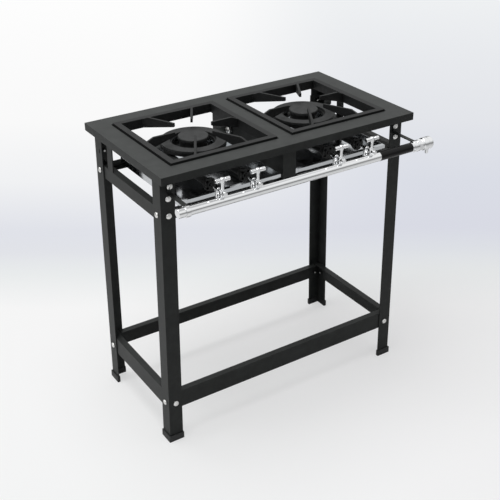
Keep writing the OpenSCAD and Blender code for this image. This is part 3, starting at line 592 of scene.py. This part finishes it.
# Behind the manifold a short pipe rises to a collar with an open front, and the jet points into the burner's
# tube.
JET_BACK, PIPE_START, PIPE_LENGTH = 22.5, 11.6, 10.7
jet_y = manifold_y + JET_BACK
bm = bmesh.new()
for number in (1, 2, 3, 4):
    stem_x, _, _, axis_z = stem_of(number)
    put(bm, turned([(0, 0), (5.5, 0), (5.5, PIPE_LENGTH), (0, PIPE_LENGTH)], TAP_STEPS),
        facing((stem_x, manifold_y + PIPE_START, manifold_z), BACK))
    put(bm, turned([(0, manifold_z - 6), (5.2, manifold_z - 6), (6.2, manifold_z - 5),
                    (6.5, manifold_z - 3.6), (6.5, axis_z - 11), (6.1, axis_z - 10.4),
                    (6.1, axis_z - 8.6), (6.5, axis_z - 8), (6.5, axis_z - 3.5), (0, axis_z - 3.5)],
                   TAP_STEPS), Matrix.Translation((stem_x, jet_y, 0)))
    put(bm, turned([(0, 9), (2.6, 9), (2.6, 0.4), (3.0, 0), (6.0, 0), (6.7, 0.4), (7, 1.2), (7, 10.5),
                    (6.4, 11.5), (4.2, 12.4), (4, 13), (4, 34), (2.4, 39), (1.6, 39.4), (0, 39.4)],
                   TAP_STEPS), facing((stem_x, jet_y - 6.5, axis_z), BACK))
finish(bm, "jet_holders", NODE_SLOT["injectors"], "stove", ["injectors"])


# ---- stage ----

# The way the camera looks and the backdrop faces, and the backdrop's shift along its own axes, in metres.
HEADING = math.radians(32.729)
BACKDROP_SHIFT = (0.0241, -0.0240, 0)
FLOOR_HALF = 12.0


def floor_paint():
    """A plain pale floor. Far from the stove it passes softly into a pale lavender-grey backdrop."""
    material, tree, place = new_material("pale_floor")
    along = add(tree, "ShaderNodeMapping",
                {"Vector": place, "Rotation": (0, 0, HEADING), "Location": BACKDROP_SHIFT})
    split = add(tree, "ShaderNodeSeparateXYZ", {"Vector": along.outputs["Vector"]})
    depth = add(tree, "ShaderNodeMapRange",
                {"Value": split.outputs["Y"], "From Min": -1.0, "From Max": 5.0}).outputs["Result"]
    left = tone(tree, depth, (0.07, "F3F4F4"), (0.22, "F8F8F8"), (0.258, "E6EAEB"), (0.285, "E0E2E8"),
                (0.315, "E0E2E9"), (0.39, "F0F1F3"), (0.51, "F9F9F9"), (0.90, "FDFDFD"))
    right = tone(tree, depth, (0.07, "F6F6F7"), (0.22, "F0F0F1"), (0.258, "E6E9EA"), (0.285, "DDE0E6"),
                 (0.315, "D8DAE4"), (0.39, "DADDE6"), (0.51, "E3E5EA"), (0.90, "EEF0F2"))
    across = add(tree, "ShaderNodeMapRange", {"Value": split.outputs["X"], "From Min": -0.5, "From Max": 0.8},
                 interpolation_type="SMOOTHSTEP")
    tint = add(tree, "ShaderNodeMix", {"Factor": across.outputs["Result"], "A": left, "B": right},
               data_type="RGBA")
    far = add(tree, "ShaderNodeMapRange", {"Value": split.outputs["Y"], "From Min": 0.45, "From Max": 0.85},
              interpolation_type="SMOOTHSTEP")
    view = add(tree, "ShaderNodeLightPath")
    bounce = add(tree, "ShaderNodeMix", {"Factor": view.outputs["Is Diffuse Ray"], "A": linear("F2F2F2"),
                                         "B": linear("8C8C8C")}, data_type="RGBA")
    near = add(tree, "ShaderNodeBsdfDiffuse", {"Color": bounce.outputs["Result"]})
    glow = add(tree, "ShaderNodeEmission", {"Color": tint.outputs["Result"]})
    veil = add(tree, "ShaderNodeMapRange", {"Value": far.outputs["Result"], "To Min": 0.6})
    seen = add(tree, "ShaderNodeMath", {0: view.outputs["Is Camera Ray"], 1: veil.outputs["Result"]},
               operation="MULTIPLY")
    both = add(tree, "ShaderNodeMixShader", {0: seen.outputs["Value"], 1: near.outputs["BSDF"],
                                             2: glow.outputs["Emission"]})
    surface(tree, both.outputs["Shader"])
    return material


bm = bmesh.new()
bmesh.ops.create_grid(bm, x_segments=1, y_segments=1, size=FLOOR_HALF)
floor_mesh = bpy.data.meshes.new("floor")
bm.to_mesh(floor_mesh)
bm.free()
floor_mesh.materials.append(floor_paint())
placed("floor", floor_mesh)

# Three surroundings: one lights the stove, one stands in its bright metal, and one is seen behind it.
world = bpy.data.worlds.new("studio")
bpy.context.scene.world = world
world.use_nodes = True
sky = world.node_tree
sky.nodes.clear()
direction = add(sky, "ShaderNodeTexCoord").outputs["Generated"]
height = add(sky, "ShaderNodeSeparateXYZ", {"Vector": direction}).outputs["Z"]
dome = tone(sky, height, (0.0, "7A7C80"), (0.25, "A0A2A6"), (0.7, "FFFFFF"))
lit = add(sky, "ShaderNodeBackground", {"Color": dome, "Strength": 0.45})
bands = tone(sky, height, (0.0, "707070"), (0.08, "9A9A99"), (0.35, "E0E1E2"), (0.5, "FFFFFF"),
             (0.77, "FFFFFF"), (0.87, "CFD0D0"), (1.0, "B4B5B5"))
mirrored = add(sky, "ShaderNodeBackground", {"Color": bands})
shown = add(sky, "ShaderNodeBackground", {"Color": linear("F4F5F8")})
path = add(sky, "ShaderNodeLightPath")
in_gloss = add(sky, "ShaderNodeMixShader", {0: path.outputs["Is Glossy Ray"], 1: lit.outputs["Background"],
                                            2: mirrored.outputs["Background"]})
in_view = add(sky, "ShaderNodeMixShader", {0: path.outputs["Is Camera Ray"], 1: in_gloss.outputs["Shader"],
                                           2: shown.outputs["Background"]})
add(sky, "ShaderNodeOutputWorld", {"Surface": in_view.outputs["Shader"]})


def lamp(name, place, target, size, watts):
    """A round softbox at a place, turned to a target; its size is in metres."""
    light = bpy.data.lights.new(name, "AREA")
    light.shape = "DISK"
    light.size = size
    light.energy = watts
    rig = placed(name, light)
    rig.location = place
    rig.rotation_euler = (Vector(target) - Vector(place)).to_track_quat("-Z", "Y").to_euler()


lamp("overhead_softbox", place=(-0.5, 0.1, 3.3), target=(0.0, 0.0, 0.6), size=2.2, watts=70.0)
lamp("left_softbox", place=(-3.2, 0.5, 1.9), target=(0.0, 0.0, 0.5), size=1.8, watts=19.0)

# The camera looks down on the stove from its left front.
EYE = Vector((-1.253955, -1.89763, 1.67139))
PITCH, ROLL = math.radians(-28.986), math.radians(-0.475)
ahead = Vector((math.sin(HEADING) * math.cos(PITCH), math.cos(HEADING) * math.cos(PITCH), math.sin(PITCH)))
level = Vector((math.cos(HEADING), -math.sin(HEADING), 0))
upward = level.cross(ahead)
right_hand = math.cos(ROLL) * level + math.sin(ROLL) * upward
overhead = -math.sin(ROLL) * level + math.cos(ROLL) * upward
lens = bpy.data.cameras.new("camera")
lens.lens = 66.005
lens.sensor_width = 36.0
camera = placed("camera", lens)
camera.matrix_world = Matrix.Translation(EYE) @ Matrix((right_hand, overhead, -ahead)).transposed().to_4x4()
bpy.context.scene.camera = camera

bpy.context.scene.view_settings.view_transform = "Standard"
